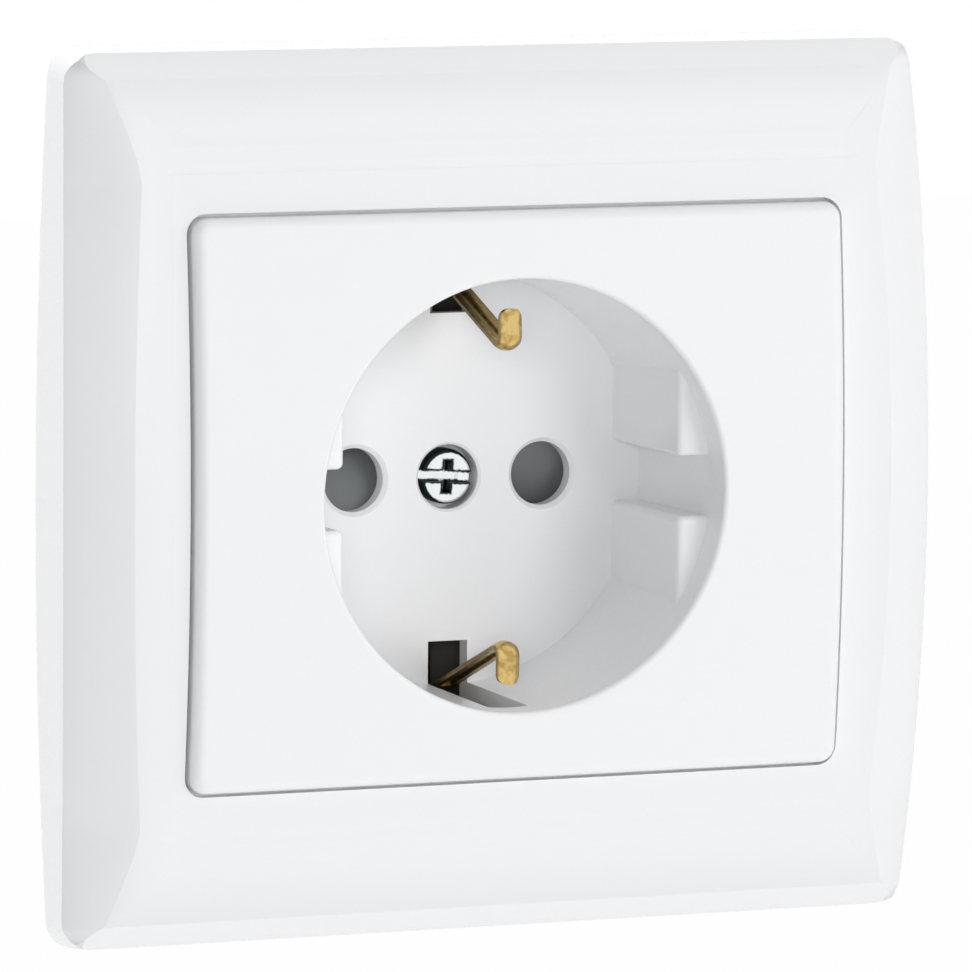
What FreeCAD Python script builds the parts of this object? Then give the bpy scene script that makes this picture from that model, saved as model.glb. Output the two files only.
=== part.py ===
import FreeCAD
import Part
import Sketcher
import math
import os
from FreeCAD import Placement, Rotation, Vector

# Flush-mounted earthed wall socket with side guide blocks and spring earth clips.
# Millimetres. X runs to the right, Z up, and the front faces -Y.
# The origin is the middle of the socket in the wall's surface, so +Y is inside the wall box.
SIZES = {
    # cover frame: a domed, bowed square shell with soft front edges
    "frame_width": 86.8,
    "frame_height": 82.74,
    "frame_front": 11.3,
    "frame_wall": 2.2,
    "side_radius": 720.0,
    "dome_radius": 254.0,
    "edge_radius": 13.6,
    "edge_break": 0.02,
    "side_edge_run": 9.84,
    "end_edge_run": 11.17,
    "flank_draft": 0.105,
    "corner_radius": 2.8,
    "collar_wall": 1.6,
    "ledge_front": 8.5,
    "ledge_wall": 1.8,
    "ledge_width": 3.1,
    "rib_wall": 1.2,
    "rib_back": 2.2,
    "rib_spread": 40.0,
    # centre plate: the insert with the plug well
    "plate_width": 64.7,
    "plate_height": 52.5,
    "plate_front": 12.5,
    "plate_gap": 0.35,
    "plate_corner": 1.6,
    "plate_edge": 1.1,
    "plate_wall": 2.2,
    "skirt_wall": 1.8,
    "well_radius": 20.0,
    "well_taper": 0.5,
    "well_wall": 1.6,
    "rim_radius": 0.4,
    "floor_depth": 5.9,
    "floor_wall": 1.8,
    "guide_flat": 16.75,
    "guide_channel": 5.6,
    "guide_drop": 3.4,
    "guide_edge": 0.6,
    "pin_spacing": 19.0,
    "pin_hole_radius": 3.0,
    "pin_lead": 0.4,
    "recess_radius": 3.05,
    "recess_depth": 2.4,
    "recess_lead": 0.25,
    "boss_radius": 4.2,
    "slot_width": 4.0,
    "slot_start": 15.4,
    "notch_height": 14.2,
    # centre screw and the square nut that it pulls on
    "screw_radius": 1.5,
    "screw_length": 9.6,
    "screw_clearance": 0.2,
    "thread_clearance": 0.05,
    "head_radius": 2.6,
    "head_height": 2.0,
    "head_round": 0.45,
    "drive_width": 1.05,
    "drive_depth": 0.9,
    "cross_width": 0.85,
    "cross_reach": 1.5,
    "cross_depth": 1.4,
    "drive_angle": 4.0,
    "nut_size": 5.5,
    "nut_height": 2.4,
    # child-protection shutter behind the floor, its spring and its cage
    "shutter_gap": 0.15,
    "shutter_depth": 2.7,
    "shutter_radius": 14.2,
    "shutter_width": 7.0,
    "hub_radius": 6.2,
    "hub_depth": 1.4,
    "hub_clearance": 0.06,
    "ramp_depth": 2.1,
    "spring_wire": 0.3,
    "spring_radius": 5.05,
    "spring_angle": 300.0,
    "spring_bend": 0.7,
    "cage_wall": 1.0,
    "cage_radius": 15.0,
    "cage_fit": 0.04,
    "cage_leg": 3.0,
    "pin_clearance": 0.3,
    # earth bracket: one brass strip with a spring clip at each end
    "earth_wall": 0.8,
    "earth_gap": 0.4,
    "clip_width": 2.2,
    "clip_crown": 0.45,
    "clip_root": 21.2,
    "clip_apex": 13.3,
    "clip_apex_height": 14.4,
    "clip_tip": 17.4,
    "clip_tip_height": 14.2,
    "clip_bend": 1.1,
    "clip_round": 0.95,
    "clip_drop": 0.4,
    "groove_radius": 0.62,
    "groove_depth": 0.3,
    "groove_start": 3.0,
    "groove_length": 13.0,
    "bend_radius": 1.4,
    "earth_pad": 8.0,
    "earth_pad_length": 14.0,
    "earth_tail": 4.6,
    "earth_tail_width": 5.0,
    # line and neutral contacts with their terminals
    "contact_wall": 0.8,
    "contact_width": 5.0,
    "jaw_root": 3.0,
    "jaw_gap": 3.6,
    "jaw_mouth": 6.8,
    "throat_depth": 3.6,
    "tab_depth": 26.2,
    "tab_width": 6.0,
    "tab_reach": 16.0,
    "terminal_height": 12.5,
    "earth_terminal": 13.0,
    "clamp_size": 7.2,
    "clamp_wall": 1.4,
    "wire_groove": 0.6,
    "terminal_head": 2.9,
    "terminal_head_height": 2.0,
    "terminal_reach": 4.0,
    # insulating base
    "base_radius": 27.5,
    "base_ring": 22.2,
    "base_half_width": 22.5,
    "base_arm": 16.0,
    "base_back": 31.5,
    "base_front_wall": 1.5,
    "base_edge": 1.0,
    "post_spread": 12.0,
    "post_radius": 1.5,
    "chamber_half": 4.6,
    "chamber_play": 0.25,
    "tip_room": 2.1,
    # steel support plate, its rivets, spreader claws and claw screws
    "carrier_side_gap": 5.7,
    "carrier_end_gap": 3.67,
    "carrier_wall": 1.2,
    "carrier_corner": 8.0,
    "carrier_hole": 22.4,
    "box_screw_spacing": 60.0,
    "box_slot_radius": 1.8,
    "box_slot_length": 6.6,
    "rivet_radius": 1.2,
    "rivet_head": 2.2,
    "rivet_head_height": 0.8,
    "rivet_round": 0.5,
    "rivet_length": 6.0,
    "rivet_fit": 0.03,
    "rivet_circle": 25.1,
    "rivet_angle": 30.0,
    "claw_wall": 1.2,
    "claw_width": 6.4,
    "claw_gap": 2.2,
    "claw_arm": 2.0,
    "claw_heel": 2.4,
    "claw_depth": 5.0,
    "claw_reach": 21.5,
    "claw_tooth": 0.8,
    "claw_end": 24.5,
    "claw_notch": 0.9,
    "pivot_radius": 0.9,
    "pivot_play": 0.07,
    "lug_wall": 1.2,
    "lug_gap": 0.3,
    "lug_half": 1.2,
    "claw_screw_end": 19.0,
    "claw_head": 2.4,
    "claw_head_height": 1.7,
    "claw_head_gap": 0.5,
    "claw_slot_play": 0.2,
}

# Depths that several pieces share, each measured along Y from the wall's surface
FLOOR_BACK = "(dim.floor_depth + dim.floor_wall)"
SCREW_SEAT = "(dim.floor_depth + dim.recess_depth)"
SHUTTER_FRONT = f"({FLOOR_BACK} + dim.shutter_gap)"
SHUTTER_BACK = f"({SHUTTER_FRONT} + dim.shutter_depth)"
CAGE_FRONT = f"({SHUTTER_BACK} + dim.shutter_gap)"
CAGE_BACK = f"({CAGE_FRONT} + dim.cage_wall)"
BASE_FRONT = f"({CAGE_BACK} + dim.earth_gap + dim.earth_wall)"
BOSS_BACK = f"({CAGE_BACK} + dim.earth_gap/2)"
TAB_MIDDLE = "(dim.tab_depth + dim.contact_wall/2)"
TAB_BACK = "(dim.tab_depth + dim.contact_wall)"
CLAMP_BACK = f"({TAB_BACK} + dim.clamp_wall)"
PIN_PLACE = "dim.pin_spacing/2"

# Room that a cutting shape gets past the face it opens, and where uncut blocks start in front
ROOM = "dim.frame_wall/2"
FRONT_END = "(-1.5*dim.plate_front)"

AXES = "xyz"
ALONG = {"x": Rotation(Vector(0, 1, 0), 90), "y": Rotation(Vector(1, 0, 0), -90), "z": Rotation()}
IN_YZ = Placement(Vector(), Rotation(Vector(1, 1, 1), 120))
IN_XY = Placement()

# When an edge counts as lying on a face and as running along an axis, and how far the side rounding turns
NEAR = 0.01
MOSTLY = 0.9
ROUNDING_TURN = 30

doc = FreeCAD.newDocument("earthed_wall_socket")
sheet = doc.addObject("Spreadsheet::Sheet", "dim")
for row, (word, size) in enumerate(SIZES.items(), start=1):
    sheet.set(f"A{row}", word)
    sheet.set(f"B{row}", str(size))
    sheet.setAlias(f"B{row}", word)
doc.recompute()
subparts = []


def value(expression):
    return float(sheet.evalExpression(expression))


def minus(expression):
    return f"-({expression})"


def both(half):
    """The span from minus to plus of a half size."""
    return (minus(half), half)


def around(middle, half):
    return (f"{middle} - ({half})", f"{middle} + ({half})")


def place(item, x, y, z):
    for axis, expression in zip(AXES, (x, y, z)):
        item.setExpression(f"Placement.Base.{axis}", expression)


def box(name, x, y, z):
    item = doc.addObject("Part::Box", name)
    for side, (low, high) in zip(("Length", "Width", "Height"), (x, y, z)):
        item.setExpression(side, f"({high}) - ({low})")
    place(item, x[0], y[0], z[0])
    return item


def rod(name, axis, radius, span, across):
    """A cylinder along an axis; across gives its place on the other two axes."""
    item = doc.addObject("Part::Cylinder", name)
    item.Placement = Placement(Vector(), ALONG[axis])
    item.setExpression("Radius", radius)
    item.setExpression("Height", f"({span[1]}) - ({span[0]})")
    spot = list(across)
    spot.insert(AXES.index(axis), span[0])
    place(item, *spot)
    return item


def cone(name, front_radius, back_radius, span, across):
    """A cone along Y, with its radius at the front and at the back of its span."""
    item = doc.addObject("Part::Cone", name)
    item.Placement = Placement(Vector(), ALONG["y"])
    item.setExpression("Radius1", front_radius)
    item.setExpression("Radius2", back_radius)
    item.setExpression("Height", f"({span[1]}) - ({span[0]})")
    place(item, across[0], span[0], across[1])
    return item


def wedge(name, y, front_x, front_z, back_x, back_z):
    """A block whose front and back faces have sizes of their own."""
    item = doc.addObject("Part::Wedge", name)
    spans = {"Y": y, "X": front_x, "Z": front_z, "X2": back_x, "Z2": back_z}
    for side, (low, high) in spans.items():
        item.setExpression(side + "min", low)
        item.setExpression(side + "max", high)
    return item


def cut(name, base, *tools):
    for tool in tools:
        item = doc.addObject("Part::Cut", name)
        item.Base = base
        item.Tool = tool
        base = item
    return base


def meet(name, base, *others):
    for other in others:
        item = doc.addObject("Part::Common", name)
        item.Base = base
        item.Tool = other
        base = item
    return base


def join(name, *items):
    item = doc.addObject("Part::MultiFuse", name)
    item.Shapes = list(items)
    item.Refine = True
    return item


def mirrored(name, source, axis):
    item = doc.addObject("Part::Mirroring", name)
    item.Source = source
    item.Normal = Vector(*(1.0 if letter == axis else 0.0 for letter in AXES))
    return item


def turned_about_y(name, source, angle):
    group = doc.addObject("Part::Compound", name)
    group.Links = [source]
    group.Placement = Placement(Vector(), Rotation(Vector(0, 1, 0), 1))
    group.setExpression("Placement.Rotation.Angle", angle)
    return group


def with_mirror(name, source, axis):
    return join(name, source, mirrored(name + "_twin", source, axis))


def rounded(name, base, *passes):
    """A body around a solid, with fillets; each pass gives a radius and a test that picks edges."""
    body = doc.addObject("PartDesign::Body", name)
    body.BaseFeature = base
    body.setExpression("Placement", f"{base.Name}.Placement")
    for radius, picks in passes:
        doc.recompute()
        tip = body.Tip
        placed = tip.Shape.transformed(base.Placement.toMatrix())
        edges = [f"Edge{n}" for n, edge in enumerate(placed.Edges, start=1) if picks(edge)]
        fillet = body.newObject("PartDesign::Fillet", name + "_fillet")
        fillet.Base = (tip, edges)
        fillet.setExpression("Radius", radius)
    doc.recompute()
    return body


def middle_of(edge):
    low, high = edge.ParameterRange
    return edge.valueAt((low + high) / 2)


def runs_along(edge, axis):
    """Whether an edge runs mostly along one axis."""
    extent = edge.BoundBox
    lengths = {"x": extent.XLength, "y": extent.YLength, "z": extent.ZLength}
    return lengths[axis] > MOSTLY * edge.Length


def bent_path(name, plane, corners, bend):
    """An open sketch of straight runs and tangent bends; each corner's place is bound to the sheet."""
    sketch = doc.addObject("Sketcher::SketchObject", name)
    sketch.Placement = plane
    points = [Vector(value(u), value(v), 0) for u, v in corners]
    radius = value(bend)

    def fix(geometry, end, corner):
        for kind, expression in zip(("DistanceX", "DistanceY"), corner):
            number = sketch.addConstraint(
                Sketcher.Constraint(kind, -1, 1, geometry, end, value(expression)))
            sketch.setExpression(f"Constraints[{number}]", expression)

    start = points[0]
    line_before = None
    arc_before = None
    for index in range(1, len(points)):
        into = (points[index] - points[index - 1]).normalize()
        last = index == len(points) - 1
        if last:
            stop = points[index]
        else:
            out = (points[index + 1] - points[index]).normalize()
            turn = into.getAngle(out)
            stop = points[index] - into * (radius * math.tan(turn / 2))
        line = sketch.addGeometry(Part.LineSegment(start, stop))
        if arc_before is None:
            fix(line, 1, corners[0])
        else:
            arc, leaving = arc_before
            sketch.addConstraint(Sketcher.Constraint("Tangent", arc, leaving, line, 1))
            sketch.addConstraint(Sketcher.Constraint("PointOnObject", corner_point, 1, line_before))
            sketch.addConstraint(Sketcher.Constraint("PointOnObject", corner_point, 1, line))
        if last:
            fix(line, 2, corners[index])
            break
        left = into.x * out.y - into.y * out.x > 0
        inward = Vector(-into.y, into.x, 0) * (radius if left else -radius)
        centre = stop + inward
        restart = points[index] + out * (radius * math.tan(turn / 2))
        first, second = (stop, restart) if left else (restart, stop)
        angles = [math.atan2(p.y - centre.y, p.x - centre.x) for p in (first, second)]
        circle = Part.Circle(centre, Vector(0, 0, 1), radius)
        arc = sketch.addGeometry(Part.ArcOfCircle(circle, *angles))
        entering, leaving = (1, 2) if left else (2, 1)
        sketch.addConstraint(Sketcher.Constraint("Tangent", line, 2, arc, entering))
        number = sketch.addConstraint(Sketcher.Constraint("Radius", arc, radius))
        sketch.setExpression(f"Constraints[{number}]", bend)
        corner_point = sketch.addGeometry(Part.Point(points[index]), True)
        fix(corner_point, 1, corners[index])
        start = restart
        line_before = line
        arc_before = (arc, leaving)
    return sketch


def strip(name, path, wide, thick, start):
    """A flat strip bent along a path: its section is swept from the path's start."""
    doc.recompute()
    section = doc.addObject("Part::Plane", name + "_section")
    section.setExpression("Length", wide)
    section.setExpression("Width", thick)
    across = f"-({wide})/2"
    along = f"-({thick})/2"
    if path.Placement.isIdentity() or path.Placement.Rotation.isIdentity():
        section.Placement = Placement(Vector(), Rotation(Vector(0, 1, 0), -90))
        place(section, start[0], f"{start[1]} + {along}", f"{start[2]} + {across}")
    else:
        place(section, f"{start[0]} + {across}", f"{start[1]} + {along}", start[2])
    item = doc.addObject("Part::Sweep", name)
    item.Sections = [section]
    item.Spine = (path, [f"Edge{n}" for n in range(1, len(path.Shape.Edges) + 1)])
    item.Solid = True
    item.Frenet = False
    return item


def finished(item, node):
    item.Label = node
    subparts.append(item)
    return item


# Cover frame
SIDE_EDGE = "(dim.frame_width/2 - dim.side_edge_run)"
END_EDGE = "(dim.frame_height/2 - dim.end_edge_run)"
END_CENTRE = ("(dim.dome_radius - dim.frame_front - sqrt("
              f"(dim.dome_radius - dim.edge_radius + dim.edge_break)^2 - {END_EDGE}^2))")
SIDE_CENTRE = "(dim.edge_radius - dim.edge_break - dim.frame_front)"
CREASE = ("(" + SIDE_CENTRE
          + " - sqrt(dim.edge_radius^2 - dim.side_edge_run^2))")
CURVE_SQUARE = "(1/dim.side_radius^2 + 1/dim.dome_radius^2)"


def bowed_slab(name, inset, back):
    """The outline, straight through: bowed left and right sides, drafted top and bottom flanks."""
    sides = [
        rod(name + "_side", "y", f"dim.side_radius - {inset}", (FRONT_END, back),
            (f"{sign}(dim.frame_width/2 - dim.side_radius)", "0"))
        for sign in ("", "-")
    ]
    half = f"dim.frame_height/2 - {inset}"
    front = f"{half} + dim.flank_draft*{FRONT_END}"
    flanks = wedge(name + "_flanks", (FRONT_END, back), both("dim.frame_width"),
                   both(front), both("dim.frame_width"), both(half))
    return meet(name, flanks, *sides)


def side_rounding(name, inset):
    """What the soft left and right edges take away, swept along both the bow and the dome."""
    sketch = doc.addObject("Sketcher::SketchObject", name + "_profile")
    reach = value("dim.edge_radius")
    radius = value(f"dim.edge_radius - {inset}")
    x, y = value(SIDE_EDGE), value(SIDE_CENTRE)
    far_x, far_y = x + 2 * reach, y - 2 * reach
    circle = Part.Circle(Vector(x, y, 0), Vector(0, 0, 1), radius)
    arc = sketch.addGeometry(Part.ArcOfCircle(circle, -math.pi / 2, 0))
    corners = [(x + radius, y), (far_x, y), (far_x, far_y), (x, far_y), (x, y - radius)]
    lines = [
        sketch.addGeometry(Part.LineSegment(Vector(*one, 0), Vector(*two, 0)))
        for one, two in zip(corners, corners[1:])
    ]
    chain = [(arc, 2), *[(line, end) for line in lines for end in (1, 2)], (arc, 1)]
    for (one, end), (two, begin) in zip(chain[0::2], chain[1::2]):
        sketch.addConstraint(Sketcher.Constraint("Coincident", one, end, two, begin))
    for line, kind in zip(lines, ("Horizontal", "Vertical", "Horizontal", "Vertical")):
        sketch.addConstraint(Sketcher.Constraint(kind, line))
    sketch.addConstraint(Sketcher.Constraint("PointOnObject", arc, 3, lines[0]))
    sketch.addConstraint(Sketcher.Constraint("PointOnObject", arc, 3, lines[3]))
    bound = [
        (Sketcher.Constraint("DistanceX", -1, 1, arc, 3, x), SIDE_EDGE),
        (Sketcher.Constraint("DistanceY", -1, 1, arc, 3, y), SIDE_CENTRE),
        (Sketcher.Constraint("Radius", arc, radius), f"dim.edge_radius - {inset}"),
        (Sketcher.Constraint("DistanceX", arc, 3, lines[1], 1, 2 * reach), "2*dim.edge_radius"),
        (Sketcher.Constraint("DistanceY", arc, 3, lines[1], 2, -2 * reach), "-2*dim.edge_radius"),
    ]
    for constraint, expression in bound:
        number = sketch.addConstraint(constraint)
        sketch.setExpression(f"Constraints[{number}]", expression)
    turned = doc.addObject("Part::Revolution", name)
    turned.Source = sketch
    turned.Solid = True
    turned.Symmetric = True
    turned.Angle = ROUNDING_TURN
    turned.setExpression("Base.x", f"dim.frame_width/2 - 1/(dim.side_radius*{CURVE_SQUARE})")
    turned.setExpression("Base.y", f"{CREASE} + 1/(dim.dome_radius*{CURVE_SQUARE})")
    turned.setExpression("Axis.x", "1/dim.dome_radius")
    turned.setExpression("Axis.y", "1/dim.side_radius")
    turned.setExpression("Axis.z", "0")
    return turned


def softened(name, slab, inset):
    """A slab under the dome, with all four front edges rounded."""
    dome = rod(name + "_dome", "x", f"dim.dome_radius - {inset}", both("dim.frame_width"),
               ("dim.dome_radius - dim.frame_front", "0"))
    corner = box(name + "_corner", both("dim.frame_width"), (f"{FRONT_END} - {ROOM}", END_CENTRE),
                 (END_EDGE, "dim.frame_height"))
    curve = rod(name + "_curve", "x", f"dim.edge_radius - {inset}", both("dim.frame_width"),
                (END_CENTRE, END_EDGE))
    top = cut(name + "_top", corner, curve)
    side = side_rounding(name + "_side", inset)
    return cut(name, meet(name + "_domed", slab, dome), top, mirrored(name + "_bottom", top, "z"),
               side, mirrored(name + "_left", side, "x"))


def make_cover_frame():
    slab = bowed_slab("frame_slab", "0", "0")
    corner_z = value("dim.frame_height/4")
    slab = rounded("frame_outline", slab, (
        "dim.corner_radius",
        lambda edge: runs_along(edge, "y") and abs(middle_of(edge).z) > corner_z))
    outer = softened("frame_outer", slab, "0")
    hollow = softened("frame_hollow", bowed_slab("hollow_slab", "dim.frame_wall", ROOM),
                      "dim.frame_wall")
    opening = [f"dim.plate_{side}/2 + dim.plate_gap" for side in ("width", "height")]
    ledge_back = "-(dim.ledge_front - dim.ledge_wall)"
    collar = box("frame_collar", both(f"{opening[0]} + dim.collar_wall"), (FRONT_END, ledge_back),
                 both(f"{opening[1]} + dim.collar_wall"))
    rib_span = (FRONT_END, "-dim.rib_back")
    ribs = []
    for sign in ("", "-"):
        spot = around(f"{sign}dim.rib_spread/2", "dim.rib_wall/2")
        ribs.append(box("frame_rib", spot, rib_span, both("dim.frame_height")))
        ribs.append(box("frame_rib", both("dim.frame_width"), rib_span, spot))
    hollow = cut("frame_hollow_ribbed", hollow, collar, *ribs)
    recess = box("frame_recess", both(opening[0]), (FRONT_END, "-dim.ledge_front"), both(opening[1]))
    recess = rounded("frame_recess_corners", recess, (
        "dim.plate_corner + dim.plate_gap", lambda edge: runs_along(edge, "y")))
    window = box("frame_window", both(f"{opening[0]} - dim.ledge_width"), (FRONT_END, "0"),
                 both(f"{opening[1]} - dim.ledge_width"))
    return finished(cut("frame", outer, hollow, recess, window), "cover_frame")


def guide_block():
    """One moulded guide block on the well's right wall, above its channel, with soft edges."""
    front = "-(dim.plate_front - dim.guide_drop)"
    block = box("guide", ("dim.guide_flat", "dim.well_radius + dim.well_wall"),
                (front, "dim.floor_depth + dim.floor_wall/2"), ("dim.guide_channel/2", "dim.well_radius"))
    flat = value("dim.guide_flat")
    channel = value("dim.guide_channel/2")
    face = value(front)

    def seen(edge):
        spot = middle_of(edge)
        return sum((abs(spot.x - flat) < NEAR, abs(spot.y - face) < NEAR,
                    abs(spot.z - channel) < NEAR)) == 2

    block = rounded("guide_soft", block, ("dim.guide_edge", seen))
    wall = rod("guide_wall", "y", "dim.well_radius + dim.well_wall/2", (FRONT_END, FLOOR_BACK),
               ("0", "0"))
    return meet("guide_trimmed", block, wall)


def make_centre_plate():
    half_width, half_height = "dim.plate_width/2", "dim.plate_height/2"
    dome_centre = "dim.dome_radius - dim.plate_front"
    slab = meet(
        "plate_slab",
        box("plate_block", both(half_width), (FRONT_END, "-dim.ledge_front"), both(half_height)),
        rod("plate_dome", "x", "dim.dome_radius", both("dim.plate_width"), (dome_centre, "0")))
    mouth = rod("well_mouth", "y", "dim.well_radius", (FRONT_END, "0"), ("0", "0"))
    slab = cut("plate_pierced", slab, mouth)
    face_line = -value("dim.plate_front + dim.ledge_front") / 2
    rim = value("dim.well_radius") + NEAR

    def front(edge):
        return middle_of(edge).y < face_line and not runs_along(edge, "y")

    def on_rim(edge):
        return math.hypot(middle_of(edge).x, middle_of(edge).z) < rim

    slab = rounded(
        "plate_face", slab,
        ("dim.plate_corner", lambda edge: runs_along(edge, "y") and not on_rim(edge)),
        ("dim.plate_edge", lambda edge: front(edge) and not on_rim(edge)),
        ("dim.rim_radius", lambda edge: front(edge) and on_rim(edge)))
    pocket = meet(
        "plate_pocket",
        box("pocket_block", both(f"{half_width} - dim.skirt_wall"), (FRONT_END, "0"),
            both(f"{half_height} - dim.skirt_wall")),
        rod("pocket_dome", "x", "dim.dome_radius - dim.plate_wall", both("dim.plate_width"),
            (dome_centre, "0")))
    shell = cut("plate_shell", slab, pocket)
    tube_front = "-(dim.plate_front - dim.plate_wall + dim.rim_radius/2)"
    tube = rod("well_tube", "y", "dim.well_radius + dim.well_wall", (tube_front, FLOOR_BACK), ("0", "0"))
    bore = cone("well_bore", "dim.well_radius", "dim.well_radius - dim.well_taper",
                (tube_front, "dim.floor_depth"), ("0", "0"))
    tube = cut("well", tube, bore)
    guides = with_mirror("guides", with_mirror("guide_pair", guide_block(), "z"), "x")
    boss = rod("screw_boss", "y", "dim.boss_radius", ("dim.floor_depth + dim.floor_wall/2", BOSS_BACK),
               ("0", "0"))
    plate = join("plate_moulding", shell, tube, guides, boss)
    above = f"dim.floor_depth - {ROOM}"
    tools = [
        rod("screw_recess", "y", "dim.recess_radius", (above, SCREW_SEAT), ("0", "0")),
        cone("recess_lead", "dim.recess_radius + dim.recess_lead", "dim.recess_radius",
             ("dim.floor_depth", "dim.floor_depth + dim.recess_lead"), ("0", "0")),
        rod("screw_way", "y", "dim.screw_radius + dim.screw_clearance", (above, f"{BOSS_BACK} + {ROOM}"),
            ("0", "0")),
    ]
    for sign in ("", "-"):
        spot = (sign + PIN_PLACE, "0")
        tools.append(rod("pin_hole", "y", "dim.pin_hole_radius", (above, f"{FLOOR_BACK} + {ROOM}"), spot))
        tools.append(cone("pin_lead", "dim.pin_hole_radius + dim.pin_lead", "dim.pin_hole_radius",
                          ("dim.floor_depth", "dim.floor_depth + dim.pin_lead"), spot))
    slot = box("clip_slot", both("dim.slot_width/2"),
               ("dim.floor_depth - dim.notch_height", f"{FLOOR_BACK} + {ROOM}"),
               ("dim.slot_start", f"dim.well_radius + dim.well_wall + {ROOM}"))
    tools += [slot, mirrored("clip_slot_low", slot, "z")]
    return finished(cut("plate", plate, *tools), "centre_plate")


def drive_tools(name, front, radius, into):
    """A straight slot and a cross recess, cut into a screw head from its front face."""
    deep = {"+": lambda depth: (f"{front} - {ROOM}", f"{front} + {depth}"),
            "-": lambda depth: (f"{front} - {depth}", f"{front} + {ROOM}")}[into]
    reach = f"{radius} + {ROOM}"
    return [
        box(name + "_slot", both(reach), deep("dim.drive_depth"), both("dim.drive_width/2")),
        box(name + "_cross", both("dim.cross_reach"), deep("dim.cross_depth"), both("dim.cross_width/2")),
        box(name + "_cross", both("dim.cross_width/2"), deep("dim.cross_depth"), both("dim.cross_reach")),
    ]


def screw(name, seat, radius, height, end, into):
    """A pan-head screw on the Y axis; into says whether it is driven towards +Y or -Y."""
    away = "-" if into == "+" else "+"
    front = f"({seat} {away} {height})"
    spans = [(front, seat), (seat, end)] if into == "+" else [(seat, front), (end, seat)]
    head = rod(name + "_head", "y", radius, spans[0], ("0", "0"))
    face = value(front)
    head = rounded(name + "_dome", head, (
        "dim.head_round", lambda edge: abs(middle_of(edge).y - face) < NEAR and not runs_along(edge, "y")))
    shank = rod(name + "_shank", "y", "dim.screw_radius", spans[1], ("0", "0"))
    return cut(name, join(name + "_blank", head, shank), *drive_tools(name, front, radius, into))


def make_centre_screw():
    item = screw("centre_screw_shape", SCREW_SEAT, "dim.head_radius", "dim.head_height",
                 f"{SCREW_SEAT} + dim.screw_length", "+")
    item.Placement = Placement(Vector(), Rotation(Vector(0, 1, 0), 1))
    item.setExpression("Placement.Rotation.Angle", "dim.drive_angle")
    return finished(item, "centre_screw")


def make_centre_nut():
    back = f"({BASE_FRONT} + dim.thread_clearance + dim.nut_height)"
    nut = box("nut_blank", both("dim.nut_size/2"), (f"{back} - dim.nut_height", back), both("dim.nut_size/2"))
    thread = rod("nut_thread", "y", "dim.screw_radius + dim.thread_clearance",
                 (f"{BASE_FRONT} - {ROOM}", f"{back} + {ROOM}"), ("0", "0"))
    return finished(cut("nut", nut, thread), "centre_nut")


SPRING_MIDDLE = f"({SHUTTER_FRONT} + dim.hub_depth + 2*dim.spring_wire)"


def make_shutter():
    depth = (SHUTTER_FRONT, SHUTTER_BACK)
    bar = meet(
        "shutter_bar",
        box("shutter_blank", both("dim.shutter_radius"), depth, both("dim.shutter_width/2")),
        rod("shutter_sweep", "y", "dim.shutter_radius", depth, ("0", "0")))
    hub = rod("shutter_hub", "y", "dim.hub_radius", depth, ("0", "0"))
    low = f"-dim.shutter_width/2 - {ROOM}"
    ramp = wedge("shutter_ramp", (SHUTTER_FRONT, f"{SHUTTER_FRONT} + dim.ramp_depth"),
                 ("dim.hub_radius", f"dim.shutter_radius + {ROOM}"), (low, "dim.shutter_width/2"),
                 ("dim.hub_radius", f"dim.shutter_radius + {ROOM}"), (low, "-dim.shutter_width/2"))
    other_ramp = mirrored("shutter_ramp_left", mirrored("shutter_ramp_up", ramp, "z"), "x")
    bore = rod("shutter_bore", "y", "dim.boss_radius + dim.hub_clearance",
               (f"{SHUTTER_FRONT} - {ROOM}", f"{SHUTTER_BACK} + {ROOM}"), ("0", "0"))
    spring_room = rod("spring_room", "y", "dim.spring_radius + 2*dim.spring_wire",
                      (f"{SHUTTER_FRONT} + dim.hub_depth", f"{SHUTTER_BACK} + {ROOM}"), ("0", "0"))
    notch = box("spring_notch", ("dim.spring_radius", f"dim.hub_radius + {ROOM}"),
                (f"{SHUTTER_FRONT} + dim.hub_depth", f"{SHUTTER_BACK} + {ROOM}"),
                around("-dim.spring_bend", "2*dim.spring_wire"))
    notch = turned_about_y("spring_notch_turned", notch, "dim.spring_angle")
    body = join("shutter_moulding", bar, hub)
    return finished(cut("shutter_body", body, ramp, other_ramp, bore, spring_room, notch), "shutter")


def spring_arc(name, radius, angle, axes, spot):
    """Spring wire along an arc; axes are the directions of its start, its quarter turn and its axis."""
    arc = doc.addObject("Part::Torus", name)
    arc.setExpression("Radius1", radius)
    arc.setExpression("Radius2", "dim.spring_wire")
    arc.setExpression("Angle3", angle)
    arc.Placement = Placement(Vector(), Rotation(*[Vector(*axis) for axis in axes], "XYZ"))
    place(arc, *spot)
    return arc


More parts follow.
